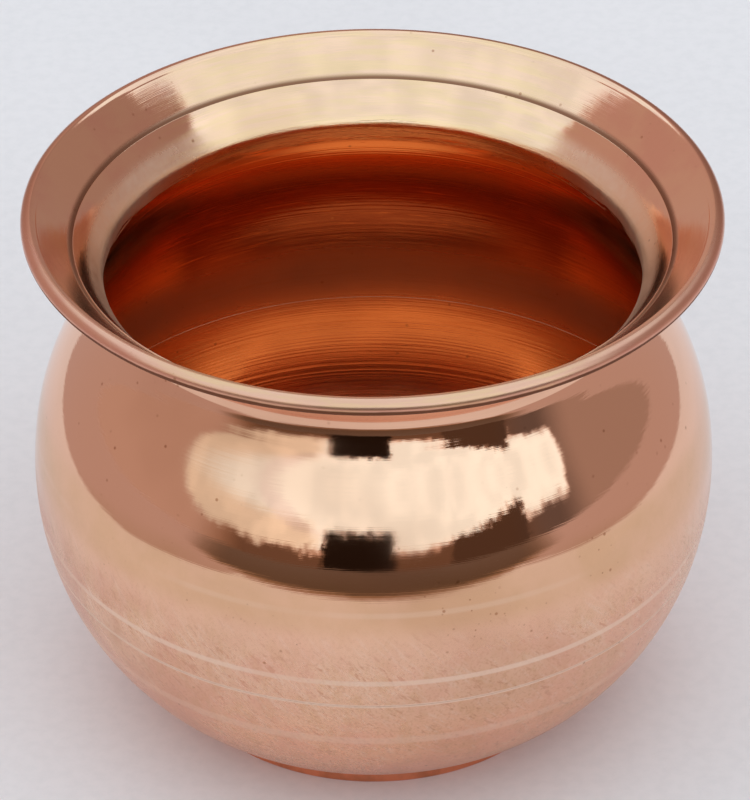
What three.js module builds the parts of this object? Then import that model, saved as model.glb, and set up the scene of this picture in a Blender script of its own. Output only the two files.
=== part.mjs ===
// A copper lota: a squat water pot with a wide flared mouth, built the way a
// coppersmith builds one. A spun lower bowl and a spun shoulder meet in a scarfed,
// brazed seam below the belly. A flared mouth flange laps round the neck, and its
// edge is rolled round a stiffening wire. A foot ring is brazed under the bowl.
// Millimetres, +Z up, origin on the ground at the centre of the foot.

import * as THREE from "three";

// Driving dimensions

const ROUND_STEPS = 56; // facets in one turn of every ring and shell

const WALL = 0.8; // copper sheet
const BRAZE = 0.1; // filler left between two lapped sheets
const EDGE = 0.2; // what is left of a sheet at the edge it is thinned to in a lap

const FOOT_RADIUS = 32.5; // outside of the foot ring
const FOOT_WIDTH = 2; // from the inside to the outside of the ring
const FOOT_HEIGHT = 3; // from the ground to the bowl's underside
const FOOT_EDGE = 0.35; // broken edges at the ground
const FOOT_FILLET = 1; // braze in the corner inside the foot ring
const FLAT_RADIUS = 33; // where the bowl's underside begins to curve up

const BELLY_RADIUS = 54.6; // widest point, outside
const BELLY_HEIGHT = 42.4; // height of the widest point
const BOWL_TURN = 1.2; // how far the underside runs on before it turns up
const BOWL_RISE = 27.6; // how far below the widest point the wall stands upright

const SEAM_LOW = 32; // lower edge of the shoulder
const SEAM_LAP = 5; // height over which the shoulder and the bowl lap

const THROAT_RADIUS = 43.3; // narrowest point, outside
const THROAT_HEIGHT = 78; // height of the narrowest point
const SHOULDER_RISE = 21; // upright run of the wall above the widest point
const NECK_RISE = 8.4; // upright run of the wall below the throat

const RIM_RADIUS = 55; // outermost point of the rolled edge
const RIM_HEIGHT = 89.7; // highest point of the rolled edge
const WIRE_RADIUS = 0.6; // stiffening wire in the rolled edge
const FLARE_RISE = 1.6; // upright run of the wall above the throat
const FLARE_RUN = 1.5; // sloping run of the wall before the rolled edge
const FLARE_SLOPE = 38; // degrees the wall still climbs at the rolled edge
const WRAP_START = 150; // degrees round the wire where the sheet first touches it
const CREASE_SHARE = 0.5; // where on the flare the neck's edge shows in the mouth
const FLANGE_LAP_SHARE = 0.26; // how far the flange runs on outside the neck
const RIDGE = 0.3; // how far the neck's edge stands in from the flange

// Worked out from them

const LAP_DEPTH = WALL - EDGE - BRAZE; // the outer sheet's thickest in a lap
const BEAD_RADIUS = WIRE_RADIUS + WALL;
const BEAD_CENTRE = new THREE.Vector2(
  RIM_RADIUS - BEAD_RADIUS,
  RIM_HEIGHT - BEAD_RADIUS,
);
const slope = THREE.MathUtils.degToRad(FLARE_SLOPE);
const slopeUp = new THREE.Vector2(Math.cos(slope), Math.sin(slope));
const wrapStart = THREE.MathUtils.degToRad(WRAP_START);
const WIRE_CONTACT = onBead(WIRE_RADIUS, wrapStart);
const UNDERSIDE = FOOT_HEIGHT; // the bowl's flat underside rests on the ring

// A point on a circle round the wire's centre.
function onBead(radius, angle) {
  return new THREE.Vector2(
    BEAD_CENTRE.x + radius * Math.cos(angle),
    BEAD_CENTRE.y + radius * Math.sin(angle),
  );
}

// The vessel's outer line is three cubic curves that stand upright where they meet,
// so the line is smooth from the foot to the rolled edge.
const bowlLine = new THREE.CubicBezierCurve(
  new THREE.Vector2(FLAT_RADIUS, UNDERSIDE),
  new THREE.Vector2(FLAT_RADIUS + BOWL_TURN, UNDERSIDE),
  new THREE.Vector2(BELLY_RADIUS, BELLY_HEIGHT - BOWL_RISE),
  new THREE.Vector2(BELLY_RADIUS, BELLY_HEIGHT),
);
const shoulderLine = new THREE.CubicBezierCurve(
  new THREE.Vector2(BELLY_RADIUS, BELLY_HEIGHT),
  new THREE.Vector2(BELLY_RADIUS, BELLY_HEIGHT + SHOULDER_RISE),
  new THREE.Vector2(THROAT_RADIUS, THROAT_HEIGHT - NECK_RISE),
  new THREE.Vector2(THROAT_RADIUS, THROAT_HEIGHT),
);
const flareLine = new THREE.CubicBezierCurve(
  new THREE.Vector2(THROAT_RADIUS, THROAT_HEIGHT),
  new THREE.Vector2(THROAT_RADIUS, THROAT_HEIGHT + FLARE_RISE),
  WIRE_CONTACT.clone().addScaledVector(slopeUp, -FLARE_RUN),
  WIRE_CONTACT,
);

// The share of a curve at which it reaches a height, found by halving.
function shareAtHeight(line, height) {
  let low = 0;
  let high = 1;
  for (let i = 0; i < 40; i += 1) {
    const middle = (low + high) / 2;
    if (line.getPoint(middle).y < height) low = middle;
    else high = middle;
  }
  return (low + high) / 2;
}

// Points of a curve between two shares, each moved inwards by a depth that is a
// number or a function of the share. Inwards is towards the axis, or up for a floor.
function inset(line, from, to, steps, depth) {
  const points = [];
  for (let i = 0; i <= steps; i += 1) {
    const share = from + ((to - from) * i) / steps;
    const point = line.getPoint(share);
    const along = line.getTangent(share);
    const deep = typeof depth === "function" ? depth(share) : depth;
    points.push(
      new THREE.Vector2(point.x - along.y * deep, point.y + along.x * deep),
    );
  }
  return points;
}

// A closed ring or shell: an outline turned about Z. The outline runs upwards on
// its outside, and LatheGeometry turns about Y, so the result is stood up.
function turned(outline, closed = true) {
  const points = closed ? [...outline, outline[0].clone()] : outline;
  return new THREE.LatheGeometry(points, ROUND_STEPS).rotateX(Math.PI / 2);
}

// Finishes

const polishedCopper = new THREE.MeshStandardMaterial({
  color: 0xe8a583,
  roughness: 0.16,
  metalness: 1,
});
const satinCopper = new THREE.MeshStandardMaterial({
  color: 0xdda07e,
  roughness: 0.3,
  metalness: 1,
});
const darkCopper = new THREE.MeshStandardMaterial({
  color: 0xb8663c,
  roughness: 0.4,
  metalness: 1,
});
const brazeMetal = new THREE.MeshStandardMaterial({
  color: 0xd9b48a,
  roughness: 0.35,
  metalness: 1,
});

function piece(name, geometry, material) {
  const mesh = new THREE.Mesh(geometry, material);
  mesh.name = name;
  return mesh;
}

// Shares at which the pieces begin and end

const seamLow = shareAtHeight(bowlLine, SEAM_LOW);
const seamHigh = shareAtHeight(bowlLine, SEAM_LOW + SEAM_LAP);
const crease = CREASE_SHARE;
const lapEnd = CREASE_SHARE - FLANGE_LAP_SHARE;

const LAP_STEPS = 2;
const BOWL_STEPS = 9;
const BELLY_STEPS = 2;
const SHOULDER_STEPS = 9;
const NECK_STEPS = 2;
const FLARE_STEPS = 4;
const WIRE_FACET = Math.PI / 6;
const ROLL_FACET = Math.PI / 8;

// In a lap the outer sheet thickens from its edge, and the inner one thins to its
// own, so that together they stay as thick as one sheet. This is how deep their
// meeting face lies, between the shares where the lap begins and ends.
function scarf(from, to) {
  return (share) => THREE.MathUtils.mapLinear(share, from, to, EDGE, LAP_DEPTH);
}

function scarfBelow(from, to) {
  const meeting = scarf(from, to);
  return (share) => meeting(share) + BRAZE;
}

function lowerBowl() {
  const outside = [
    new THREE.Vector2(0, UNDERSIDE),
    ...inset(bowlLine, 0, seamLow, BOWL_STEPS, 0),
    ...inset(bowlLine, seamLow, seamHigh, LAP_STEPS, scarfBelow(seamLow, seamHigh)),
  ];
  const inside = [
    new THREE.Vector2(0, UNDERSIDE + WALL),
    ...inset(bowlLine, 0, seamLow, BOWL_STEPS, WALL),
    ...inset(bowlLine, seamLow, seamHigh, LAP_STEPS, WALL).slice(1),
  ];
  return turned([...outside, ...inside.reverse()], false);
}

// Filler between two sheets, along the meeting face of their lap.
function filler(line, from, to) {
  const outside = inset(line, from, to, LAP_STEPS, scarf(from, to));
  const inside = inset(line, from, to, LAP_STEPS, scarfBelow(from, to));
  return turned([...outside, ...inside.reverse()]);
}

// The neck's inner face swells over its lap, so that its edge stands in as a ridge.
function neckDepth(share) {
  return WALL + RIDGE * THREE.MathUtils.smoothstep(share, lapEnd, crease);
}

function shoulder() {
  const outside = [
    ...inset(bowlLine, seamLow, seamHigh, LAP_STEPS, 0),
    ...inset(bowlLine, seamHigh, 1, BELLY_STEPS, 0).slice(1),
    ...inset(shoulderLine, 0, 1, SHOULDER_STEPS, 0).slice(1),
    ...inset(flareLine, 0, lapEnd, NECK_STEPS, 0).slice(1),
    ...inset(flareLine, lapEnd, crease, LAP_STEPS, scarfBelow(lapEnd, crease)),
  ];
  const inside = [
    ...inset(bowlLine, seamLow, seamHigh, LAP_STEPS, scarf(seamLow, seamHigh)),
    ...inset(bowlLine, seamHigh, 1, BELLY_STEPS, WALL),
    ...inset(shoulderLine, 0, 1, SHOULDER_STEPS, WALL).slice(1),
    ...inset(flareLine, 0, lapEnd, NECK_STEPS, WALL).slice(1),
    ...inset(flareLine, lapEnd, crease, LAP_STEPS, neckDepth).slice(1),
  ];
  return turned([...outside, ...inside.reverse()]);
}

// Points on a circle round the wire, clockwise from one angle to another, at both
// ends and at every whole facet between.
function wrap(radius, from, to, facet) {
  const angles = [from];
  let next = Math.ceil(from / facet - 1) * facet;
  while (next > to + facet / 4) {
    angles.push(next);
    next -= facet;
  }
  angles.push(to);
  return angles.map((angle) => onBead(radius, angle));
}

// The flange's upper face meets the roll in a shallow groove, at this angle round
// the wire: where a line one sheet above its underside cuts the roll's outside.
function rollStart() {
  const square = Math.PI / 2 + slope;
  const above = WIRE_RADIUS * Math.cos(wrapStart - square) + WALL;
  return square + Math.acos(above / BEAD_RADIUS);
}

function mouthFlange() {
  const under = [
    ...inset(flareLine, lapEnd, crease, LAP_STEPS, 0),
    ...inset(flareLine, crease, 1, FLARE_STEPS, 0).slice(1, -1),
  ];
  const upper = [
    ...inset(flareLine, lapEnd, crease, LAP_STEPS, scarf(lapEnd, crease)),
    ...inset(flareLine, crease, 1, FLARE_STEPS, WALL).slice(0, -1),
  ];
  const rollEnd = -Math.PI / 2;
  const inner = wrap(WIRE_RADIUS, wrapStart, rollEnd, WIRE_FACET);
  const outer = wrap(BEAD_RADIUS, rollStart(), rollEnd, ROLL_FACET);
  return turned([...under, ...inner, ...outer.reverse(), ...upper.reverse()]);
}

function rimWire() {
  const once = wrap(WIRE_RADIUS, wrapStart, wrapStart - 2 * Math.PI, WIRE_FACET);
  return turned(once.slice(0, -1).reverse());
}

function footRing() {
  const inner = FOOT_RADIUS - FOOT_WIDTH;
  return turned([
    new THREE.Vector2(inner + FOOT_EDGE, 0),
    new THREE.Vector2(FOOT_RADIUS - FOOT_EDGE, 0),
    new THREE.Vector2(FOOT_RADIUS, FOOT_EDGE),
    new THREE.Vector2(FOOT_RADIUS, FOOT_HEIGHT),
    new THREE.Vector2(inner, FOOT_HEIGHT),
    new THREE.Vector2(inner, FOOT_HEIGHT - FOOT_FILLET),
    new THREE.Vector2(inner, FOOT_EDGE),
  ]);
}

function footBraze() {
  const corner = FOOT_RADIUS - FOOT_WIDTH;
  return turned([
    new THREE.Vector2(corner - FOOT_FILLET, FOOT_HEIGHT),
    new THREE.Vector2(corner, FOOT_HEIGHT - FOOT_FILLET),
    new THREE.Vector2(corner, FOOT_HEIGHT),
  ]);
}

const lota = new THREE.Group();
lota.add(
  piece("lower_bowl", lowerBowl(), satinCopper),
  piece("belly_braze", filler(bowlLine, seamLow, seamHigh), brazeMetal),
  piece("shoulder_and_neck", shoulder(), polishedCopper),
  piece("mouth_flange", mouthFlange(), polishedCopper),
  piece("mouth_braze", filler(flareLine, lapEnd, crease), brazeMetal),
  piece("rim_wire", rimWire(), darkCopper),
  piece("foot_ring", footRing(), darkCopper),
  piece("foot_braze", footBraze(), brazeMetal),
);

export default lota;
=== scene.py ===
"""A worn copper lota: a squat water pot with a wide flared mouth and a wired edge.

Every piece is an outline turned about the pot's axis with numpy. The finish is shader
work on Object coordinates and on two attributes that each outline carries.
"""

import math
from types import SimpleNamespace

import bpy
import numpy as np
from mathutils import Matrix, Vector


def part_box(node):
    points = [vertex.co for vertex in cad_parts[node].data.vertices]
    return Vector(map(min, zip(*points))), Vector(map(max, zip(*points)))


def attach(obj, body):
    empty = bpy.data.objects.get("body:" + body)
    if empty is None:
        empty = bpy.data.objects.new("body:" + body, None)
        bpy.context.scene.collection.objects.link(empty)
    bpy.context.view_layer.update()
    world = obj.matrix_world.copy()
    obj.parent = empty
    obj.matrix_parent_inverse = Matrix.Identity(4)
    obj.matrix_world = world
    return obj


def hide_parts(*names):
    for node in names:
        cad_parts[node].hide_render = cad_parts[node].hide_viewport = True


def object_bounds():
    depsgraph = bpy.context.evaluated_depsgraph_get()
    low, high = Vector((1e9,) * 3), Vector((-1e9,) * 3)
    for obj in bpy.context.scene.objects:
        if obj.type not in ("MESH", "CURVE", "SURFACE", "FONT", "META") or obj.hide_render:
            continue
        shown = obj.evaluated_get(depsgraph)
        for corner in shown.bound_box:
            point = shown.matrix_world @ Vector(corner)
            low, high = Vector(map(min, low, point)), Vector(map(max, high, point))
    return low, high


bl_info = {
    "name": "Copper Lota",
    "version": (1, 0, 0),
    "blender": (4, 5, 0),
    "location": "View3D > Sidebar > Lota",
    "description": "Builds a worn copper lota, its finishes and a plain studio",
    "category": "Add Mesh",
}

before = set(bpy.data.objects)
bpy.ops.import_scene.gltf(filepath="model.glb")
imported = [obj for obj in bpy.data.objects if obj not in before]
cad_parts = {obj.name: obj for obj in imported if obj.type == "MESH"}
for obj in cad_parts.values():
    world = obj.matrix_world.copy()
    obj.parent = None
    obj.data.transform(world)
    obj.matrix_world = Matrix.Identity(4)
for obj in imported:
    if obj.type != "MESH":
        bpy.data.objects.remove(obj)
CAD_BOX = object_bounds()
MM = 0.001
DEG = math.radians(1)

SHOULDER_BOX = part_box("shoulder_and_neck")
FLANGE_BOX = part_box("mouth_flange")
FOOT_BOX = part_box("foot_ring")

TURNS = 360  # points round every piece
LAP_ROWS = 8  # rows of an outline along a lapped seam


# Settings


def length(label, description, default):
    """A size in metres with a name, a description and a default."""
    return bpy.props.FloatProperty(
        name=label,
        description=description,
        default=default,
        min=0.0,
        unit="LENGTH",
        subtype="DISTANCE",
        precision=5,
    )


def share(label, description, default):
    """A part of a whole, from nothing to one."""
    return bpy.props.FloatProperty(
        name=label,
        description=description,
        default=default,
        min=0.0,
        max=1.0,
        subtype="FACTOR",
    )


def angle(label, description, degrees):
    """An angle, given in degrees and kept in radians."""
    return bpy.props.FloatProperty(
        name=label,
        description=description,
        default=math.radians(degrees),
        subtype="ANGLE",
    )


def strength(label, description, default):
    """A brightness, where 1 is white."""
    return bpy.props.FloatProperty(
        name=label, description=description, default=default, min=0.0
    )


def colour(label, description, default):
    """A linear colour with an alpha of one."""
    return bpy.props.FloatVectorProperty(
        name=label,
        description=description,
        default=(*default, 1.0),
        size=4,
        min=0.0,
        max=2.0,
        subtype="COLOR",
    )


class LotaFormSettings(bpy.types.PropertyGroup):
    """Sizes of the pot. Outer ones come from the parts in model.glb."""

    wall: length("Sheet", "Thickness of the copper sheet", 0.8 * MM)
    filler: length("Filler", "Braze between two lapped sheets", 0.1 * MM)
    lap_edge: length("Lap edge", "What is left of a sheet at a lap's edge", 0.2 * MM)
    foot_radius: length("Foot radius", "Outside of the foot ring", FOOT_BOX[1].x)
    foot_height: length("Foot height", "Height of the foot ring", FOOT_BOX[1].z)
    foot_width: length("Foot width", "Breadth of the foot ring", 2 * MM)
    foot_fillet: length("Foot fillet", "Filler inside the foot ring", 1 * MM)
    flat_radius: length("Flat radius", "Flat of the underside", 33 * MM)
    bowl_turn: length("Bowl turn", "Level run before the bowl rises", 1.2 * MM)
    bowl_rise: length("Bowl rise", "Upright run below the widest point", 27.6 * MM)
    belly_radius: length("Belly radius", "Widest point", SHOULDER_BOX[1].x)
    belly_height: length("Belly height", "Height of the widest point", 42.4 * MM)
    seam_low: length("Seam", "Lower edge of the shoulder", SHOULDER_BOX[0].z)
    seam_lap: length("Seam lap", "Height over which the two sheets lap", 5 * MM)
    throat_radius: length("Throat radius", "Narrowest point, outside", 43.3 * MM)
    throat_height: length("Throat height", "Height of the throat", 78 * MM)
    shoulder_rise: length("Shoulder rise", "Upright run above the belly", 21 * MM)
    neck_rise: length("Neck rise", "Upright run below the throat", 8.4 * MM)
    rim_radius: length("Rim radius", "Outside of the rolled edge", FLANGE_BOX[1].x)
    rim_height: length("Rim height", "Top of the rolled edge", FLANGE_BOX[1].z)
    wire_radius: length("Wire radius", "Wire in the rolled edge", 0.6 * MM)
    flare_rise: length("Flare rise", "Upright run above the throat", 1.6 * MM)
    flare_run: length("Flare run", "Sloping run before the edge", 1.5 * MM)
    flare_slope: angle("Flare slope", "Climb of the wall at the wire", 38)
    wrap_start: angle("Wrap start", "Where the sheet first touches the wire", 150)
    crease_share: share("Crease", "Where on the flare the neck's edge shows", 0.5)
    lap_share: share("Mouth lap", "How far the flange runs on outside the neck", 0.26)
    ridge: length("Ridge", "How far the neck's edge stands in", 0.3 * MM)
    dent_depth: length("Dents", "Depth of the sheet's slow unevenness", 0.12 * MM)


class LotaFinishSettings(bpy.types.PropertyGroup):
    """Colours of the copper and of what lies on it, and colours that paint light and
    shade.
    """

    copper: colour("Copper", "Polished copper", (0.90, 0.52, 0.35))
    scoured: colour("Scoured copper", "Copper dulled by scouring", (0.88, 0.54, 0.37))
    pale_copper: colour("Pale copper", "Fresh scratches and lines", (0.95, 0.70, 0.55))
    hollow: colour("Hollow", "Copper of the inner wall", (0.87, 0.38, 0.175))
    stain: colour("Stain", "Stained copper of the inner floor", (0.86, 0.33, 0.13))
    scratch: colour("Scratch", "Short dark scratches", (0.58, 0.25, 0.15))
    low_copper: colour("Low copper", "Warmer copper near the foot", (0.93, 0.52, 0.33))
    tarnish: colour("Tarnish", "Brown film", (0.42, 0.17, 0.08))
    rose: colour("Rose", "Reddish film on the belly and the edge", (0.85, 0.42, 0.31))
    gold: colour("Gold", "Yellowish film in the mouth", (0.88, 0.54, 0.28))
    tan: colour("Tan", "Golden brown film above the scoured belly", (0.72, 0.42, 0.22))
    # Painted light: bright patches low on the hollow's sides, and glints on its turned
    # lines
    ember: colour("Clean hollow", "Brighter copper inside the belly", (1.0, 0.44, 0.18))
    # Painted shade: dark patches in the middle and high on the sides of the hollow
    soot: colour("Dark stain", "Darkest stain inside the hollow", (0.27, 0.07, 0.035))
    # Dirt in the crease, also used as painted shade under the roll
    grime: colour("Grime", "Dark dirt in creases", (0.22, 0.08, 0.04))
    foot_copper: colour("Foot copper", "Copper of the foot ring", (0.84, 0.33, 0.18))
    filler: colour("Filler", "Brass braze", (0.83, 0.60, 0.34))


class LotaStudioSettings(bpy.types.PropertyGroup):
    """Camera, floor and light."""

    lens: bpy.props.FloatProperty(
        name="Lens", description="Focal length in millimetres", default=225.0
    )
    distance: length("Distance", "From the mouth's centre to the camera", 781.44 * MM)
    shift: length("Shift", "How far the camera stands to the right", 0.262 * MM)
    elevation: angle("Elevation", "Height of the camera above the mouth", 32.33)
    pitch: angle("Pitch", "How far the camera looks down", 34.577)
    roll: angle("Roll", "Turn of the camera about its own axis", -0.263)
    floor_colour: colour("Floor", "Pale floor", (0.935, 0.775, 0.75))
    ground_colour: colour("Ground", "Ground round the pale floor", (0.61, 0.395, 0.35))
    brown_ground: colour("Brown ground", "Ground near in front", (0.34, 0.16, 0.065))
    dark_ground: colour("Dark ground", "Ground far in front", (0.14, 0.07, 0.04))
    sky_colour: colour("Sky colour", "Tone of the open sky", (0.75, 0.98, 1.09))
    wall_colour: colour("Wall colour", "Tone of what stands round", (1.05, 0.82, 0.75))
    wall_brown: colour("Front wall colour", "Tone low in front", (1.2, 0.74, 0.50))
    left_colour: colour("Left sky colour", "Tone low at the left", (1.0, 0.96, 0.78))
    veil_colour: colour("Veil colour", "Tone of the veil", (0.88, 0.88, 1.05))
    sky: strength("Sky", "Brightness of the open sky", 1.30)
    sky_front: strength("Sky in front", "Added low in front", 0.20)
    sky_left: strength("Sky at the left", "Taken off low at the left", 0.38)
    veil: strength("Veil", "Taken off the sky behind the veil", 0.20)
    wall_left: strength("Left wall", "Brightness of the left side", 0.50)
    wall_right: strength("Right wall", "Brightness of the right side", 0.36)
    wall_front: strength("Front wall", "Brightness low in front", 0.13)


def settings():
    """The scene's three groups of settings: form, finish and studio."""
    scene = bpy.context.scene
    return scene.lota_form, scene.lota_finish, scene.lota_studio


# Outlines. An outline is an array of (radius, height) rows in metres.


class Curve:
    """A cubic curve through four points, read at shares from 0 to 1."""

    def __init__(self, *points):
        self.points = np.array(points, float)

    def at(self, shares):
        """The curve's points: (1-t)^3 a + 3(1-t)^2 t b + 3(1-t) t^2 c + t^3 d."""
        t = np.atleast_1d(shares)[:, None]
        a, b, c, d = self.points
        s = 1 - t
        return s**3 * a + 3 * s * s * t * b + 3 * s * t * t * c + t**3 * d

    def normal(self, shares):
        """The unit vector to the left of the curve: inwards, as it runs upwards."""
        t = np.atleast_1d(shares)[:, None]
        a, b, c, d = self.points
        s = 1 - t
        along = s * s * (b - a) + 2 * s * t * (c - b) + t * t * (d - c)
        along /= np.linalg.norm(along, axis=1)[:, None]
        return np.stack([-along[:, 1], along[:, 0]], axis=1)

    def inset(self, start, end, count, depth):
        """Points between two shares, moved inwards by depth(share) or a number."""
        shares = np.linspace(start, end, count)
        deep = depth(shares) if callable(depth) else np.full(count, float(depth))
        return self.at(shares) + self.normal(shares) * deep[:, None]

    def share_at(self, height):
        """The share at which the curve reaches a height, by a fine table."""
        shares = np.linspace(0, 1, 4001)
        return float(np.interp(height, self.at(shares)[:, 1], shares))


def smooth_step(x, low, high):
    """0 below low, 1 above high, and a smooth S between them."""
    t = np.clip((x - low) / (high - low), 0, 1)
    return t * t * (3 - 2 * t)


class Outline:
    """The pot's three curves and the shares at which its sheets begin and end."""

    def __init__(self, form):
        self.form = form
        wall = form.wall
        self.bead_radius = form.wire_radius + wall
        self.bead = np.array(
            [form.rim_radius - self.bead_radius, form.rim_height - self.bead_radius]
        )
        climb = np.array([math.cos(form.flare_slope), math.sin(form.flare_slope)])
        contact = self.on_wire(form.wire_radius, np.array([form.wrap_start]))[0]
        base = form.foot_height
        belly = form.belly_radius
        self.bowl = Curve(
            (form.flat_radius, base),
            (form.flat_radius + form.bowl_turn, base),
            (belly, form.belly_height - form.bowl_rise),
            (belly, form.belly_height),
        )
        self.shoulder = Curve(
            (belly, form.belly_height),
            (belly, form.belly_height + form.shoulder_rise),
            (form.throat_radius, form.throat_height - form.neck_rise),
            (form.throat_radius, form.throat_height),
        )
        self.flare = Curve(
            (form.throat_radius, form.throat_height),
            (form.throat_radius, form.throat_height + form.flare_rise),
            contact - climb * form.flare_run,
            contact,
        )
        self.seam = (
            self.bowl.share_at(form.seam_low),
            self.bowl.share_at(form.seam_low + form.seam_lap),
        )
        self.crease = form.crease_share
        self.mouth_lap = (form.crease_share - form.lap_share, form.crease_share)

    def scarf(self, lap, under=0.0):
        """How deep the meeting face of a lap lies, growing evenly along the lap.

        The outer sheet thickens from its edge and the inner one thins to its own, so
        that both and the filler between them stay as thick as one sheet.
        """
        form = self.form
        low, high = lap
        growth = form.wall - 2 * form.lap_edge - form.filler
        return lambda t: form.lap_edge + growth * (t - low) / (high - low) + under

    def neck_depth(self, shares):
        """The neck's inner face swells over its lap and ends in a fine ridge."""
        form = self.form
        return form.wall + form.ridge * smooth_step(shares, *self.mouth_lap)

    def on_wire(self, radius, angles):
        """Points on a circle round the wire's centre."""
        ring = np.stack([np.cos(angles), np.sin(angles)], axis=1)
        return self.bead + radius * ring

    def roll(self, radius, start, count):
        """An arc round the wire, clockwise from an angle to straight below."""
        return self.on_wire(radius, np.linspace(start, -math.pi / 2, count))

    def roll_start(self):
        """The angle at which the flange's upper face runs into the roll.

        It is where a line one sheet above the underside cuts the roll's outside.
        """
        form = self.form
        square = math.pi / 2 + form.flare_slope
        above = form.wire_radius * math.cos(form.wrap_start - square) + form.wall
        return square + math.acos(above / self.bead_radius)


def two_faced(outer, inner):
    """Joins an outer face, read upwards, and an inner one into one closed outline.

    The second result is 0 on the outer face and 1 on the inner one.
    """
    faces = np.concatenate([np.zeros(len(outer)), np.ones(len(inner))])
    return np.concatenate([outer, inner[::-1]]), faces


# Turned surfaces


def uneven(points, depth):
    """Moves points towards the axis by a slow wave of angle and height.

    The wave is a sum of cosines of whole multiples of the angle, so it closes. It
    never moves a point out. It grows from nothing between 8 and 25 per cent of the
    height, and fades again between 84 and 97 per cent.
    """
    x, y, z = points.T
    around = np.arctan2(y, x)
    radius = np.hypot(x, y)
    wave = (
        0.34 * np.cos(3 * around + 0.6 + 22 * z)
        + 0.26 * np.cos(5 * around - 1.1 - 61 * z)
        + 0.22 * np.cos(8 * around + 2.3 + 95 * z)
        + 0.18 * np.cos(13 * around + 0.2 - 140 * z)
    )
    height = z / CAD_BOX[1].z
    fade = smooth_step(height, 0.08, 0.25) * (1 - smooth_step(height, 0.84, 0.97))
    moved = radius - depth * fade * (0.5 - 0.5 * wave)
    scale = np.divide(moved, radius, out=np.ones_like(radius), where=radius > 1e-6)
    return np.stack([x * scale, y * scale, z], axis=1)


def turned_mesh(name, outline, inner, depth):
    """Turns an outline about Z: vertex (i, j) is outline row i at angle 2 pi j/TURNS.

    A row on the axis becomes one pole with a fan of triangles. Other rows make
    quads with the next row, and an outline that stays off the axis closes on itself.
    """
    on_axis = outline[:, 0] < 1e-7
    poles = on_axis[0] and on_axis[-1]
    rings = outline[1:-1] if poles else outline
    count = len(rings)
    angles = np.arange(TURNS) * (2 * math.pi / TURNS)
    ring = np.stack([np.cos(angles), np.sin(angles)], axis=1)
    flat = rings[:, None, 0, None] * ring[None]
    height = np.broadcast_to(rings[:, None, 1, None], (count, TURNS, 1))
    points = np.concatenate([flat, height], axis=2).reshape(-1, 3)
    here = np.arange(TURNS)
    after = np.roll(here, -1)
    last = count - 1 if poles else count
    lower = (np.arange(last) * TURNS)[:, None]
    upper = ((np.arange(last) + 1) % count * TURNS)[:, None]
    quads = np.stack([lower + here, lower + after, upper + after, upper + here], axis=2)
    faces = quads.reshape(-1, 4).tolist()
    steps = np.linalg.norm(np.diff(outline, axis=0), axis=1)
    run = np.concatenate([[0.0], np.cumsum(steps)])
    if poles:
        first, final = len(points), len(points) + 1
        tips = np.array([[0, 0, outline[0, 1]], [0, 0, outline[-1, 1]]])
        points = np.concatenate([points, tips])
        top = (count - 1) * TURNS
        low_fan = np.stack([np.full(TURNS, first), after, here], axis=1)
        high_fan = np.stack([np.full(TURNS, final), top + here, top + after], axis=1)
        faces += low_fan.tolist() + high_fan.tolist()
        run_at = np.concatenate([np.repeat(run[1:-1], TURNS), run[[0, -1]]])
        inner_at = np.concatenate([np.repeat(inner[1:-1], TURNS), inner[[0, -1]]])
    else:
        run_at = np.repeat(run, TURNS)
        inner_at = np.repeat(inner, TURNS)
    mesh = bpy.data.meshes.new(name)
    mesh.from_pydata(uneven(points, depth).tolist(), [], faces)
    mesh.shade_smooth()
    for key, values in (("run", run_at), ("inside", inner_at)):
        attribute = mesh.attributes.new(key, "FLOAT", "POINT")
        attribute.data.foreach_set("value", values.astype(np.float32))
    return mesh


def add_piece(name, node, section, material, edge=0.0):
    """Turns a section into a shown piece that stands for a CAD node.

    A section is an outline and its face marks. Edge is how far sharp edges are broken.
    """
    outline, inner = section
    form = settings()[0]
    mesh = turned_mesh(name, outline, inner, form.dent_depth)
    piece = bpy.data.objects.new(name, mesh)
    bpy.context.scene.collection.objects.link(piece)
    piece.data.materials.append(material)
    if edge:
        rounding = piece.modifiers.new("broken edges", "BEVEL")
        rounding.width = edge
        rounding.segments = 2
        rounding.limit_method = "ANGLE"
        rounding.angle_limit = 32 * DEG
        rounding.harden_normals = True
    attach(piece, "root")
    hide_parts(node)
    return piece


# Shader expressions


class Wire:
    """One output of a node. Python's operators on it add Math nodes."""

    def __init__(self, nodes, socket):
        self.nodes = nodes
        self.socket = socket

    def math(self, operation, *values):
        return self.nodes.add(
            "ShaderNodeMath", {"operation": operation}, dict(enumerate(values))
        )

    def __add__(self, other):
        return self.math("ADD", self, other)

    def __radd__(self, other):
        return self.math("ADD", other, self)

    def __sub__(self, other):
        return self.math("SUBTRACT", self, other)

    def __rsub__(self, other):
        return self.math("SUBTRACT", other, self)

    def __mul__(self, other):
        return self.math("MULTIPLY", self, other)

    def __rmul__(self, other):
        return self.math("MULTIPLY", other, self)

    def __abs__(self):
        return self.math("ABSOLUTE", self)

    def root(self):
        return self.math("SQRT", self)

    def at_least(self, other):
        return self.math("MAXIMUM", self, other)


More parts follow.
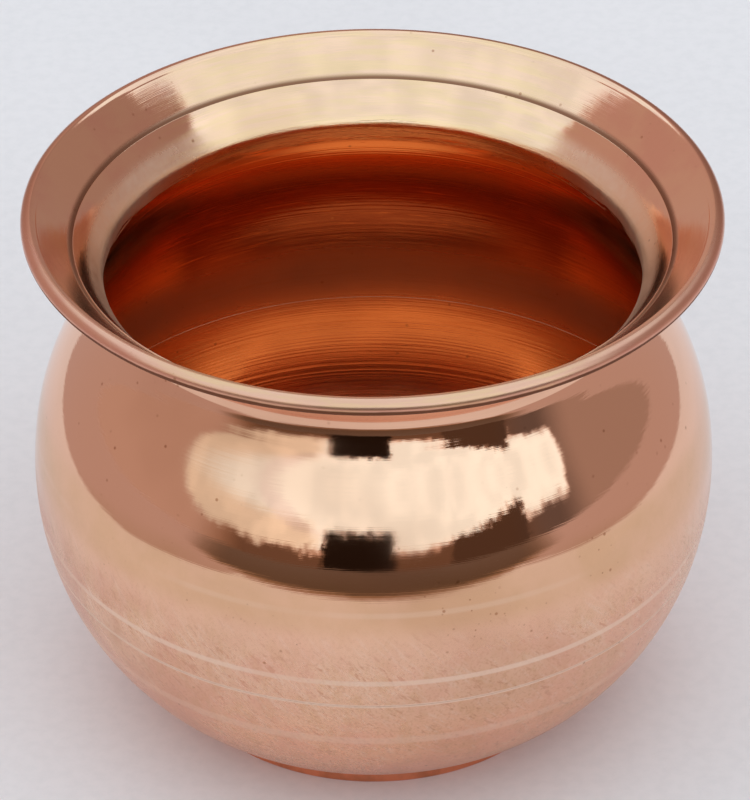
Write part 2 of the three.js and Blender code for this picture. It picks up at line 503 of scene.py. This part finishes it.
class Shader:
    """The node tree of a material or a world, written as calls."""

    def __init__(self, owner):
        owner.use_nodes = True
        self.tree = owner.node_tree
        self.tree.nodes.clear()

    def add(self, kind, choices=None, inputs=None, output=0):
        """Adds a node, sets its choices, then its sockets' values or links."""
        node = self.tree.nodes.new(kind)
        for key, value in (choices or {}).items():
            setattr(node, key, value)
        for key, value in (inputs or {}).items():
            if isinstance(value, Wire):
                self.tree.links.new(value.socket, node.inputs[key])
            else:
                node.inputs[key].default_value = value
        return Wire(self, node.outputs[output]) if node.outputs else None

    def place(self):
        return self.add("ShaderNodeTexCoord", output="Object")

    def attribute(self, name):
        return self.add(
            "ShaderNodeAttribute", {"attribute_name": name}, output="Fac"
        )

    def split(self, vector):
        """The three numbers of a vector."""
        node = self.add("ShaderNodeSeparateXYZ", inputs={0: vector}).socket.node
        return [Wire(self, node.outputs[i]) for i in range(3)]

    def ramp(self, value, low, high, start=0.0, end=1.0):
        """A smooth S from start at low to end at high."""
        return self.add(
            "ShaderNodeMapRange",
            {"interpolation_type": "SMOOTHSTEP"},
            {0: value, 1: low, 2: high, 3: start, 4: end},
        )

    def below(self, value, low, high):
        """1 up to low, falling to 0 at high."""
        return self.ramp(value, low, high, 1.0, 0.0)

    def band(self, value, centre, half, soft):
        """1 within half of centre, falling to 0 over soft on both sides."""
        return self.below(abs(value - centre), half, half + soft)

    def noise(self, vector, scale, detail=3.0, rough=0.5):
        return self.add(
            "ShaderNodeTexNoise",
            inputs={
                "Vector": vector,
                "Scale": scale,
                "Detail": detail,
                "Roughness": rough,
            },
        )

    def line_noise(self, value, pitch, detail=2.0):
        """Noise of one number, for turning lines about pitch apart."""
        return self.add(
            "ShaderNodeTexNoise",
            {"noise_dimensions": "1D"},
            {"W": value * (1.0 / pitch), "Scale": 1.0, "Detail": detail},
        )

    def spots(self, vector, scale):
        """Distance to the nearest of scattered points, in cells."""
        return self.add(
            "ShaderNodeTexVoronoi", inputs={"Vector": vector, "Scale": scale}
        )

    def blend(self, factor, first, second):
        """A mix of two colours."""
        return self.add(
            "ShaderNodeMix",
            {"data_type": "RGBA"},
            {0: factor, 6: first, 7: second},
            output=2,
        )

    def stretched(self, vector, x, y, z):
        """A vector scaled along its axes."""
        return self.add(
            "ShaderNodeMapping", inputs={"Vector": vector, "Scale": (x, y, z)}
        )

    def twisted(self, vector, turn):
        """A vector turned about Z by an angle that may vary."""
        return self.add(
            "ShaderNodeVectorRotate",
            {"rotation_type": "Z_AXIS"},
            {"Vector": vector, "Angle": turn},
        )

    def bump(self, height, distance, strength=1.0, under=None):
        inputs = {"Height": height, "Distance": distance, "Strength": strength}
        if under is not None:
            inputs["Normal"] = under
        return self.add("ShaderNodeBump", inputs=inputs)

    def metal(self, base, roughness, normal):
        """Ends the tree in a metallic surface."""
        surface = self.add(
            "ShaderNodeBsdfPrincipled",
            inputs={
                "Metallic": 1.0,
                "Base Color": base,
                "Roughness": roughness,
                "Normal": normal,
            },
        )
        self.add("ShaderNodeOutputMaterial", inputs={"Surface": surface})


# Finishes


# Heights between which one finish of the copper gives way to the next
FOOT_FILM_TOP = (5 * MM, 14 * MM)
FLOOR_STAIN_TOP = (15 * MM, 25 * MM)
WARM_TOP = (18 * MM, 34 * MM)
SCOURED_TOP = (38 * MM, 50.5 * MM)
HOLLOW_TOP = (75.3 * MM, 76.3 * MM)
LIP_TOP = (78.5 * MM, 80.5 * MM)
UNDERSIDE_START = (80 * MM, 83 * MM)
MOUTH_START = (81 * MM, 83 * MM)

# Heights over which the neck's shading bends in under the mouth
NECK_BEND = (73.4 * MM, 77.5 * MM)

# Lines of the belly seam's two edges: half the width and the soft edge of each
SEAM_LOW_LINE = (0.20 * MM, 0.22 * MM)
SEAM_HIGH_LINE = (0.30 * MM, 0.35 * MM)

# Turned lines: the height, half the width and the soft edge of each
FOOT_LINE = (23 * MM, 0.5 * MM, 0.8 * MM)
BELLY_LINE = (49.8 * MM, 0.2 * MM, 0.5 * MM)
INNER_LINES = ((73.3 * MM, 0.12 * MM, 0.15 * MM), (71.6 * MM, 0.08 * MM, 0.1 * MM))


def copper_zones(s):
    """Where each finish lies, as a set of smooth masks of height and of the two faces.

    Strokes are noise drawn out level round the pot. They make the top of the hollow
    and the edge of its two sides uneven.
    """
    form = settings()[0]
    at = SimpleNamespace(place=s.place(), run=s.attribute("run"))
    x, y, z = s.split(at.place)
    at.z = z
    at.radius = (x * x + y * y).root()
    at.inside = s.attribute("inside")
    at.outside = 1.0 - at.inside
    at.near = s.below(y, -20 * MM, 10 * MM)
    at.left = s.below(x, -45 * MM, -15 * MM)
    at.flank = s.ramp(abs(x), 0.55 * form.throat_radius, 0.9 * form.throat_radius)
    at.strokes = s.noise(s.stretched(at.place, 1.0, 1.0, 16.0), 95.0, 5.0, 0.62)

    at.scoured = s.below(z, *SCOURED_TOP) * at.outside
    at.warm = s.below(z, *WARM_TOP) * at.outside
    at.underside = s.ramp(z, *UNDERSIDE_START) * at.outside
    at.mouth = s.ramp(z, *MOUTH_START) * at.inside
    at.stained = s.below(z, *FLOOR_STAIN_TOP) * at.inside
    brushed = z + (at.strokes - 0.5) * (6 * MM)
    at.hollow = s.below(brushed, *HOLLOW_TOP) * at.inside
    at.throat = s.ramp(brushed, *HOLLOW_TOP) * s.below(z, *MOUTH_START) * at.inside
    at.lip = at.throat * s.below(z, *LIP_TOP)
    rim = form.rim_radius
    at.bead = s.ramp(at.radius, rim - 1.9 * MM, rim - 0.7 * MM) * at.inside
    # Masks for painted light and shade in the hollow: painted shade in its middle and high
    # on its sides, and a painted pool of light low on its sides
    beside = abs(x) + (at.strokes - 0.5) * (8 * MM)
    at.side = s.ramp(beside, 30 * MM, 37 * MM) * at.hollow
    at.middle = s.band(z, 56 * MM, 7 * MM, 7 * MM) * at.hollow * (1.0 - at.side)
    at.dark_side = at.side * s.ramp(z, 54 * MM, 61 * MM)
    low_side = s.ramp(z, 34 * MM, 39 * MM) * s.below(z, 52 * MM, 58 * MM)
    at.bright_side = at.side * low_side
    return at


def copper_marks(s, at):
    """What turning, scouring and age leave on the copper, as a set of noises and masks.

    Turning is noise of the run along the outline. Slanting scratches are noise on
    coordinates twisted about the axis with height, and upright ones on coordinates
    squeezed along it. The crease is dirt on a seam. Low on the roll's outer side, dirt
    in the gap under the roll and painted shade under it share one mask. The smudge on
    the belly's left is partly brown smudges and partly painted shade.
    """
    form = settings()[0]
    pot = outline_of_pot()
    mark = SimpleNamespace()
    mark.cloud = s.noise(at.place, 26.0, 3.0)
    mark.patches = s.noise(at.place, 85.0, 4.0, 0.6)
    mark.mottle = s.noise(s.stretched(at.place, 1.0, 1.0, 0.6), 330.0, 4.0, 0.65)
    mark.grain = s.noise(at.place, 2200.0, 2.0)
    mark.turning = s.line_noise(at.run, 0.55 * MM, 2.0)
    mark.fine_turning = s.line_noise(at.run, 0.16 * MM, 1.0)
    mark.upright = s.noise(s.stretched(at.place, 1.0, 1.0, 0.03), 1500.0, 3.0, 0.6)
    twist = at.z * (0.8 / form.belly_radius)
    slant = s.stretched(s.twisted(at.place, twist), 1.0, 1.0, 0.30)
    mark.streaks = s.noise(slant, 1500.0, 3.0, 0.6)
    mark.bright_scratches = s.noise(slant, 1000.0, 3.0, 0.55)
    mark.nicks = s.noise(s.stretched(slant, 1.0, 1.0, 1.7), 900.0, 3.0, 0.6)
    mark.film = s.ramp(mark.cloud, 0.48, 0.72) * (0.22 - at.mouth * 0.08)

    seam_low = s.band(at.z, form.seam_low, *SEAM_LOW_LINE)
    seam_high = s.band(at.z, form.seam_low + form.seam_lap, *SEAM_HIGH_LINE)
    mark.lines = at.outside * (
        seam_low * 0.75
        + seam_high * s.ramp(mark.cloud, 0.30, 0.55) * 0.65
        + s.band(at.z, *FOOT_LINE) * 0.3
        + s.band(at.z, *BELLY_LINE) * s.ramp(mark.cloud, 0.35, 0.6) * 0.2
    )
    upper, lower = (s.band(at.z, *line) for line in INNER_LINES)
    mark.inner_lines = (upper + lower) * at.inside

    ridge = float(pot.flare.inset(pot.crease, pot.crease, 1, form.wall)[0, 0])
    mark.crease = (
        s.ramp(at.radius, ridge - 0.12 * MM, ridge - 0.02 * MM)
        * s.below(at.radius, ridge + 0.2 * MM, ridge + 0.9 * MM)
        * at.mouth
    )
    # The roll's lower outer side: dirt in the gap, and painted shade under the roll
    gap_top = float(pot.bead[1]) + (mark.patches - 0.5) * (0.5 * MM)
    mark.roll_gap = at.bead * s.below(at.z - gap_top, -0.25 * MM, 0.05 * MM)

    dusty = (
        s.band(at.z, 50 * MM, 5 * MM, 4 * MM) * at.outside
        + s.ramp(at.radius, 49 * MM, 52 * MM) * at.mouth * 0.3
    )
    large = s.below(s.spots(at.place, 330.0), 0.05, 0.12)
    small = s.below(s.spots(at.place, 800.0), 0.08, 0.16)
    mark.specks = (
        large * s.ramp(mark.patches, 0.48, 0.60)
        + small * s.ramp(mark.patches, 0.50, 0.64) * dusty
    )
    # Darker on the belly's left: partly brown smudges, partly painted shade on that side
    mark.smudge = at.left * s.ramp(mark.patches, 0.35, 0.6) * at.scoured
    return mark


def copper_colour(s, at, mark):
    """The copper's colour: each layer covers its share of the ones before it. Some layers
    paint light and shade.
    """
    finish = settings()[1]
    in_mouth = at.mouth + at.throat
    # Painted shade in the middle and high on the sides of the hollow
    sooty = at.dark_side * 0.1 + at.middle * (0.55 + at.strokes * 0.75)
    scratched = s.ramp(mark.bright_scratches, 0.50, 0.70) * at.scoured * 0.35
    tan_strip = s.band(at.z, 51 * MM, 2.5 * MM, 4 * MM) * at.outside
    tanned = (
        s.ramp(mark.mottle, 0.46, 0.66) * at.scoured * 0.35
        + mark.smudge * 0.1
        + tan_strip * (0.30 + s.ramp(mark.patches, 0.35, 0.65) * 0.30)
    )
    grainy = (s.ramp(mark.grain, 0.50, 0.66) * 0.25 + mark.smudge * 0.35) * at.scoured
    nicked = s.ramp(mark.nicks, 0.58, 0.68) * at.scoured * 0.42
    # Pale on the throat's sides: real brush streaks, with the sides painted lighter as a
    # sheen
    brushed = (mark.upright * 0.6 + 0.25) * at.throat * at.flank
    rosy = s.ramp(mark.patches, 0.40, 0.66)
    # Rose: reddish film on the belly and the edge, and painted shade on the sides of the
    # flange
    reddened = rosy * (at.scoured * 0.40 + at.mouth * at.flank * 0.6) + at.bead * 0.7
    # Gold in the middle of the mouth, kept off its sides: partly yellow film, partly a
    # painted reflection
    golden = s.ramp(at.strokes, 0.40, 0.62) * in_mouth * (1.0 - at.flank) * 0.55
    stroked = s.ramp(at.strokes, 0.52, 0.70) * at.hollow * 0.45
    brown = (
        mark.film
        + s.ramp(at.z, *FOOT_FILM_TOP, 0.22, 0.0) * at.outside
        # Brown on the roll: tarnish, with painted shade making it heavier at the back and
        # sides than in front
        + at.bead * (0.75 - at.near * 0.55)
        + at.underside * (0.10 + rosy * 0.15)
    )
    layers = (
        (at.scoured, finish.scoured),
        (at.hollow, finish.hollow),
        (at.warm, finish.low_copper),
        (at.stained, finish.stain),
        # Painted shade, then painted light, in the hollow
        (sooty, finish.soot),
        (at.bright_side * 0.8, finish.ember),
        (scratched, finish.pale_copper),
        (tanned, finish.tan),
        (grainy, finish.scratch),
        (nicked, finish.scratch),
        (at.lip * 0.35, finish.gold),
        # Painted sheen and shade: paler and redder on the mouth's sides, golden in its
        # middle
        (brushed, finish.pale_copper),
        (reddened, finish.rose),
        (golden, finish.gold),
        (stroked, finish.stain),
        (brown, finish.tarnish),
        (mark.lines, finish.pale_copper),
        # The inner turned lines are real; their bright orange is a painted glint
        (mark.inner_lines * (0.4 + at.strokes), finish.ember),
        (mark.specks * 0.7, finish.tarnish),
        # Dirt in the crease, and dirt with painted shade on the roll's lower side
        (mark.crease * 0.9 + mark.roll_gap * 0.95, finish.grime),
    )
    base = finish.copper
    for cover, tone in layers:
        base = s.blend(cover, base, tone)
    return base


def copper_roughness(at, mark):
    """Bright on the shoulder, brushed in the throat, dull where scoured or dirty."""
    roughness = (
        0.038
        + at.scoured * 0.24
        + at.hollow * 0.06
        + at.throat * (0.06 + at.flank * 0.28)
        + at.lip * 0.08
        + at.bright_side * 0.05
        + at.mouth * (0.02 + at.near * 0.16)
        + at.underside * 0.20
        + at.stained * 0.20
        + at.bead * 0.1
        + mark.roll_gap * 0.4
        + mark.lines * 0.1
        + mark.inner_lines * 0.12
        + mark.film * 0.30
        + mark.crease * 0.4
        + (mark.streaks - 0.5) * at.scoured * 0.14
        + (mark.upright - 0.5) * at.throat * at.flank * 0.2
        + (mark.patches - 0.5) * 0.06
        + (at.strokes - 0.5) * at.inside * 0.12
    )
    return roughness.at_least(0.04)


def copper_relief(s, at, mark):
    """Fine relief: turning and strokes, scratches, the neck's bend, then dents."""
    cut = (
        mark.turning * (0.10 + at.hollow * 0.65)
        + mark.fine_turning * (0.06 + at.mouth * 0.12)
        + at.strokes * at.inside * (0.45 + at.lip * 3.0)
        + mark.inner_lines * 0.6
    )
    scratches = mark.streaks * at.scoured + mark.upright * at.throat * at.flank
    bend = s.below(at.z, *NECK_BEND) * at.outside
    dents = mark.cloud + mark.patches * 0.14 + mark.grain * 0.002
    normal = s.bump(cut, 0.05 * MM, 0.5)
    normal = s.bump(scratches, 0.025 * MM, 0.5, normal)
    normal = s.bump(bend, 0.25 * MM, 1.0, normal)
    return s.bump(dents, 0.35 * MM, 0.45, normal)


def worn_copper(name):
    """Turned and worn copper, from the scoured belly to the bright mouth."""
    material = bpy.data.materials.new(name)
    s = Shader(material)
    at = copper_zones(s)
    mark = copper_marks(s, at)
    base = copper_colour(s, at, mark)
    s.metal(base, copper_roughness(at, mark), copper_relief(s, at, mark))
    return material


def dark_copper(name):
    """Copper that has gone brown where it's handled and set down."""
    finish = settings()[1]
    material = bpy.data.materials.new(name)
    s = Shader(material)
    place = s.place()
    patches = s.noise(place, 160.0, 4.0, 0.6)
    fine = s.noise(place, 900.0, 2.0)
    base = s.blend(s.ramp(patches, 0.4, 0.65) * 0.5, finish.foot_copper, finish.tarnish)
    roughness = 0.26 + patches * 0.25
    s.metal(base, roughness, s.bump(fine, 0.03 * MM, 0.5))
    return material


def filler_metal(name):
    """Brass filler with a grainy cast face."""
    finish = settings()[1]
    material = bpy.data.materials.new(name)
    s = Shader(material)
    grain = s.noise(s.place(), 1100.0, 3.0)
    base = s.blend(s.ramp(grain, 0.45, 0.7) * 0.6, finish.filler, finish.tarnish)
    s.metal(base, 0.3 + grain * 0.25, s.bump(grain, 0.05 * MM, 0.6))
    return material


def once(name, make):
    """The material of that name, made on first use."""
    return bpy.data.materials.get(name) or make(name)


def outline_of_pot():
    """The pot's outline at the form's present sizes."""
    return Outline(settings()[0])


# Operators


class LOTA_OT_add_lower_bowl(bpy.types.Operator):
    """Add the lower bowl, from the base to the scarfed lip inside the seam"""

    bl_idname = "lota.add_lower_bowl"
    bl_label = "Lower bowl"

    def execute(self, context):
        pot = outline_of_pot()
        form = pot.form
        flat_rows, rise_rows = 13, 64

        def face(depth, lap_depth):
            floor = np.linspace(0, form.flat_radius, flat_rows + 1)[:-1]
            level = np.full(flat_rows, form.foot_height + depth)
            base = np.stack([floor, level], axis=1)
            rise = pot.bowl.inset(0, pot.seam[0], rise_rows, depth)
            lap = pot.bowl.inset(*pot.seam, LAP_ROWS, lap_depth)
            return np.concatenate([base, rise, lap])

        outer = face(0.0, pot.scarf(pot.seam, form.filler))
        # The inner face runs on into the lap without a corner, so one row goes.
        inner = np.delete(face(form.wall, form.wall), flat_rows + rise_rows, axis=0)
        add_piece(
            "bowl",
            "lower_bowl",
            two_faced(outer, inner),
            once("worn copper", worn_copper),
            edge=0.05 * MM,
        )
        return {"FINISHED"}


class LOTA_OT_add_shoulder(bpy.types.Operator):
    """Add the shoulder and neck, from the belly seam to the crease in the mouth"""

    bl_idname = "lota.add_shoulder"
    bl_label = "Shoulder and neck"

    def execute(self, context):
        pot = outline_of_pot()
        form = pot.form
        seam, lap = pot.seam, pot.mouth_lap
        belly_rows, shoulder_rows, neck_rows = 18, 70, 10
        outer = np.concatenate(
            [
                pot.bowl.inset(seam[0], 1, LAP_ROWS + belly_rows, 0.0)[:-1],
                pot.shoulder.inset(0, 1, shoulder_rows, 0.0)[:-1],
                pot.flare.inset(0, lap[0], neck_rows, 0.0),
                pot.flare.inset(*lap, LAP_ROWS, pot.scarf(lap, form.filler)),
            ]
        )
        inner = np.concatenate(
            [
                pot.bowl.inset(*seam, LAP_ROWS, pot.scarf(seam)),
                pot.bowl.inset(seam[1], 1, belly_rows, form.wall)[:-1],
                pot.shoulder.inset(0, 1, shoulder_rows, form.wall)[:-1],
                pot.flare.inset(0, lap[0], neck_rows, form.wall)[:-1],
                pot.flare.inset(*lap, neck_rows, pot.neck_depth),
            ]
        )
        add_piece(
            "shoulder",
            "shoulder_and_neck",
            two_faced(outer, inner),
            once("polished copper", worn_copper),
            edge=0.08 * MM,
        )
        return {"FINISHED"}


class LOTA_OT_add_mouth_flange(bpy.types.Operator):
    """Add the flared mouth with its edge rolled round the wire"""

    bl_idname = "lota.add_mouth_flange"
    bl_label = "Mouth flange"

    def execute(self, context):
        pot = outline_of_pot()
        form = pot.form
        lap = pot.mouth_lap
        flare_rows, under_roll_rows, upper_roll_rows = 32, 26, 44
        under = np.concatenate(
            [
                pot.flare.inset(lap[0], 1, LAP_ROWS + flare_rows, 0.0)[:-1],
                pot.roll(form.wire_radius, form.wrap_start, under_roll_rows),
            ]
        )
        upper = np.concatenate(
            [
                pot.flare.inset(*lap, LAP_ROWS, pot.scarf(lap)),
                pot.flare.inset(pot.crease, 1, flare_rows, form.wall)[:-1],
                pot.roll(pot.bead_radius, pot.roll_start(), upper_roll_rows),
            ]
        )
        add_piece(
            "flange",
            "mouth_flange",
            two_faced(under, upper),
            once("polished copper", worn_copper),
            edge=0.05 * MM,
        )
        return {"FINISHED"}


class LOTA_OT_add_rim_wire(bpy.types.Operator):
    """Add the stiffening wire inside the rolled edge"""

    bl_idname = "lota.add_rim_wire"
    bl_label = "Rim wire"

    def execute(self, context):
        pot = outline_of_pot()
        sides = 32
        angles = np.arange(sides) * (2 * math.pi / sides)
        ring = pot.on_wire(pot.form.wire_radius, angles)
        add_piece(
            "wire",
            "rim_wire",
            (ring, np.zeros(len(ring))),
            once("dark copper", dark_copper),
        )
        return {"FINISHED"}


class LOTA_OT_add_foot(bpy.types.Operator):
    """Add the foot ring and the filler that holds it to the bowl"""

    bl_idname = "lota.add_foot"
    bl_label = "Foot ring"

    def execute(self, context):
        form = settings()[0]
        inner = form.foot_radius - form.foot_width
        height = form.foot_height
        corner = 0.35 * MM
        rise_rows, fillet_rows = 12, 9
        rise = np.linspace(corner, height, rise_rows)[:, None]
        ring = np.concatenate(
            [
                [[inner + corner, 0], [inner + form.foot_width / 2, 0]],
                [[form.foot_radius - corner, 0]],
                np.hstack([np.full_like(rise, form.foot_radius), rise]),
                np.hstack([np.full_like(rise, inner), rise])[::-1],
            ]
        )
        add_piece(
            "foot",
            "foot_ring",
            (ring, np.zeros(len(ring))),
            once("dark copper", dark_copper),
            edge=0.12 * MM,
        )
        sweep = np.linspace(0, math.pi / 2, fillet_rows)
        reach = form.foot_fillet
        hollow = np.stack(
            [
                inner - reach + reach * np.sin(sweep),
                height - reach + reach * np.cos(sweep),
            ],
            axis=1,
        )
        fillet = np.concatenate([hollow[::-1], [[inner, height]]])
        add_piece(
            "foot_filler",
            "foot_braze",
            (fillet[::-1], np.zeros(len(fillet))),
            once("filler", filler_metal),
        )
        return {"FINISHED"}


class LOTA_OT_add_brazed_joints(bpy.types.Operator):
    """Add the filler in the belly seam and in the lap of the mouth"""

    bl_idname = "lota.add_brazed_joints"
    bl_label = "Brazed joints"

    def execute(self, context):
        pot = outline_of_pot()
        laps = (
            ("belly_filler", "belly_braze", pot.bowl, pot.seam),
            ("mouth_filler", "mouth_braze", pot.flare, pot.mouth_lap),
        )
        for name, node, curve, lap in laps:
            outer = curve.inset(*lap, LAP_ROWS, pot.scarf(lap))
            inner = curve.inset(*lap, LAP_ROWS, pot.scarf(lap, pot.form.filler))
            section = two_faced(outer, inner)
            add_piece(name, node, section, once("filler", filler_metal))
        return {"FINISHED"}


class LOTA_OT_add_studio(bpy.types.Operator):
    """Add the floor, the soft surroundings and the camera"""

    bl_idname = "lota.add_studio"
    bl_label = "Studio"

    def execute(self, context):
        add_floor()
        add_surroundings()
        add_camera()
        context.scene.view_settings.view_transform = "Standard"
        return {"FINISHED"}


FLOOR_REACH = 6.0  # metres from the pot to each edge of the floor

# Where the pale sheet on the floor ends, each from one side of its edge to the other
SHEET_FRONT = (-0.271, -0.266)
SHEET_LEFT = (-0.226, -0.221)
SHEET_RIGHT = (0.262, 0.268)
SHEET_BACK = (0.9, 1.6)

# How far in front the ground turns brown, and farther out dark
BROWN_START = (-0.30, -0.285)
DARK_START = (-0.34, -0.31)


def front_angle(s, x, y):
    """The level angle from straight in front, growing to the right."""
    return x.math("ARCTAN2", x, 0.0 - y)


def floor_colour(s):
    """The floor's colour: masks of the place and of the angle from the front."""
    studio = settings()[2]
    place = s.place()
    x, y, _ = s.split(place)
    wedge = s.below(abs(front_angle(s, x, y)), 45 * DEG, 62 * DEG)
    brown = s.below(y, *BROWN_START) * wedge
    ground = s.blend(brown * 0.85, studio.ground_colour, studio.brown_ground)
    ground = s.blend(wedge * s.below(y, *DARK_START), ground, studio.dark_ground)
    cloudy = s.ramp(s.noise(place, 9.0, 4.0), 0.35, 0.65) * 0.5
    grainy = s.ramp(s.noise(place, 420.0, 3.0, 0.6), 0.35, 0.7) * 0.5
    shade = tuple(0.93 * c for c in studio.floor_colour[:3]) + (1.0,)
    sheet = s.blend(cloudy + grainy, studio.floor_colour, shade)
    pale = (
        s.ramp(y, *SHEET_FRONT)
        * s.ramp(x, *SHEET_LEFT)
        * s.below(x, *SHEET_RIGHT)
        * s.below(y, *SHEET_BACK)
    )
    return s.blend(pale, ground, sheet)


def add_floor():
    """A pale sheet under the pot, and darker ground beyond its edges.

    The sheet ends near in front and at the sides and far behind. The ground is brown
    and then dark straight in front.
    """
    low, high = -FLOOR_REACH, FLOOR_REACH
    corners = [(low, low, 0), (high, low, 0), (high, high, 0), (low, high, 0)]
    mesh = bpy.data.meshes.new("floor")
    mesh.from_pydata(corners, [], [(0, 1, 2, 3)])
    floor = bpy.data.objects.new("floor", mesh)
    bpy.context.scene.collection.objects.link(floor)
    material = bpy.data.materials.new("floor")
    s = Shader(material)
    surface = s.add(
        "ShaderNodeBsdfPrincipled",
        inputs={
            "Base Color": floor_colour(s),
            "Roughness": 0.9,
            "Specular IOR Level": 0.12,
        },
    )
    s.add("ShaderNodeOutputMaterial", inputs={"Surface": surface})
    floor.data.materials.append(material)


def dark_cards(s, turn, rise, torn):
    """Two dark cards in front of the sky, one each side of the middle.

    Each is a mask of the angle round and of the height, with torn edges. The top of
    the right one climbs a little to the right.
    """
    left = s.below(abs(turn + 5 * DEG + torn * (9 * DEG)), 11 * DEG, 12.2 * DEG)
    left = left * s.below(rise + torn * (10 * DEG), 14.6 * DEG, 15.8 * DEG)
    right = s.band(turn + torn * (8 * DEG), 38 * DEG, 12.5 * DEG, 1.2 * DEG)
    over = rise - (turn - 26 * DEG) * 0.22 + torn * (9 * DEG)
    right = right * s.below(over, 9 * DEG, 10.5 * DEG)
    return left, right


def above_skyline(s, turn, rise):
    """How high a direction lies over the skyline, which climbs at both sides."""
    right_top = s.ramp(turn, 66 * DEG, 86 * DEG, 0.0, 34 * DEG)
    left_top = s.ramp(turn, -100 * DEG, -55 * DEG, 34 * DEG, 0.0)
    step = s.ramp(turn, 8 * DEG, 40 * DEG, 0.0, 3 * DEG)
    return rise - right_top - left_top - step - 6.5 * DEG


def add_surroundings():
    """Soft light from all round: low dark surroundings under a wide open sky.

    Turn is the angle from the front and rise the height of a direction. The skyline is
    uneven, and two dark cards stand in front of the sky. Low at the left the sky is
    dimmer and yellower, and a thin veil hangs slanting beside that part.
    """
    studio = settings()[2]
    world = bpy.data.worlds.new("surroundings")
    bpy.context.scene.world = world
    s = Shader(world)
    way = s.add("ShaderNodeTexCoord", output="Generated")
    x, y, z = s.split(way)
    rise = z.math("ARCSINE", z)
    turn = front_angle(s, x, y)
    ragged = s.noise(way, 9.0, 4.0) - 0.5
    torn = s.noise(way, 34.0, 4.0, 0.65) - 0.5

    left_card, right_card = dark_cards(s, turn, rise, torn)
    over = above_skyline(s, turn, rise) + ragged * (10 * DEG) + torn * (5 * DEG)
    cards = left_card.at_least(right_card)
    open_sky = s.ramp(over, -1.5 * DEG, 2 * DEG) * (1.0 - cards)
    left_part = s.below(turn + ragged * (20 * DEG), -26 * DEG, -16 * DEG)
    left_part = left_part * s.below(rise, 15 * DEG, 19 * DEG)
    front_part = s.ramp(turn, -44 * DEG, -30 * DEG) * s.below(rise, 30 * DEG, 50 * DEG)
    slanting = turn + (rise - 19 * DEG) * 2.4 + ragged * (10 * DEG)
    veil = s.band(slanting, -34 * DEG, 2.5 * DEG, 5 * DEG)
    veil = veil * s.band(rise, 18 * DEG, 3 * DEG, 3 * DEG)

    sky = (
        studio.sky
        + front_part * studio.sky_front
        - left_part * studio.sky_left
        - veil * studio.veil
    )
    clouds = s.ramp(s.noise(way, 7.0, 3.0), 0.35, 0.65, 0.90, 1.06)
    wall = (
        studio.wall_front
        + s.ramp(turn, -62 * DEG, -42 * DEG, studio.wall_left - studio.wall_front, 0.0)
        + s.ramp(turn, 62 * DEG, 78 * DEG, 0.0, studio.wall_right - studio.wall_front)
    )
    wall = wall * (1.0 - left_card * 0.9 - right_card * 0.45).at_least(0.05)
    level = wall + (sky * clouds - wall) * open_sky

    front = s.below(abs(turn), 44 * DEG, 60 * DEG)
    tone = s.blend(front, studio.wall_colour, studio.wall_brown)
    tone = s.blend(open_sky, tone, studio.sky_colour)
    tone = s.blend(left_part * open_sky * 0.6, tone, studio.left_colour)
    tone = s.blend(veil * open_sky * 0.3, tone, studio.veil_colour)
    light = s.add("ShaderNodeBackground", inputs={"Color": tone, "Strength": level})
    s.add("ShaderNodeOutputWorld", inputs={"Surface": light})


def add_camera():
    """The camera looks down at the pot from in front."""
    form, _, studio = settings()
    lens = bpy.data.cameras.new("camera")
    lens.lens = studio.lens
    lens.sensor_width = 36.0
    lens.clip_start, lens.clip_end = 0.01, 50.0
    camera = bpy.data.objects.new("camera", lens)
    bpy.context.scene.collection.objects.link(camera)
    camera.location = (
        studio.shift,
        -studio.distance * math.cos(studio.elevation),
        form.rim_height + studio.distance * math.sin(studio.elevation),
    )
    half_down = (math.pi / 2 - studio.pitch) / 2
    half_turn = studio.roll / 2
    camera.rotation_mode = "QUATERNION"
    camera.rotation_quaternion = (
        math.cos(half_down) * math.cos(half_turn),
        math.sin(half_down) * math.cos(half_turn),
        -math.sin(half_down) * math.sin(half_turn),
        math.cos(half_down) * math.sin(half_turn),
    )
    bpy.context.scene.camera = camera


PIECE_OPERATORS = (
    LOTA_OT_add_lower_bowl,
    LOTA_OT_add_shoulder,
    LOTA_OT_add_mouth_flange,
    LOTA_OT_add_rim_wire,
    LOTA_OT_add_foot,
    LOTA_OT_add_brazed_joints,
    LOTA_OT_add_studio,
)


class LOTA_PT_pieces(bpy.types.Panel):
    """Lists the pot's pieces in the 3D view's sidebar"""

    bl_idname = "LOTA_PT_pieces"
    bl_label = "Lota"
    bl_space_type = "VIEW_3D"
    bl_region_type = "UI"
    bl_category = "Lota"

    def draw(self, context):
        for operator in PIECE_OPERATORS:
            self.layout.operator(operator.bl_idname)


SETTINGS = (
    ("lota_form", LotaFormSettings),
    ("lota_finish", LotaFinishSettings),
    ("lota_studio", LotaStudioSettings),
)


def register():
    """Registers the settings, the operators and the panel."""
    for name, group in SETTINGS:
        bpy.utils.register_class(group)
        setattr(bpy.types.Scene, name, bpy.props.PointerProperty(type=group))
    for operator in PIECE_OPERATORS:
        bpy.utils.register_class(operator)
    bpy.utils.register_class(LOTA_PT_pieces)


def unregister():
    """Takes out everything that register put in."""
    bpy.utils.unregister_class(LOTA_PT_pieces)
    for operator in reversed(PIECE_OPERATORS):
        bpy.utils.unregister_class(operator)
    for name, group in reversed(SETTINGS):
        delattr(bpy.types.Scene, name)
        bpy.utils.unregister_class(group)


def main():
    register()
    bpy.ops.lota.add_lower_bowl()
    bpy.ops.lota.add_shoulder()
    bpy.ops.lota.add_mouth_flange()
    bpy.ops.lota.add_rim_wire()
    bpy.ops.lota.add_foot()
    bpy.ops.lota.add_brazed_joints()
    bpy.ops.lota.add_studio()


if __name__ == "__main__":
    main()
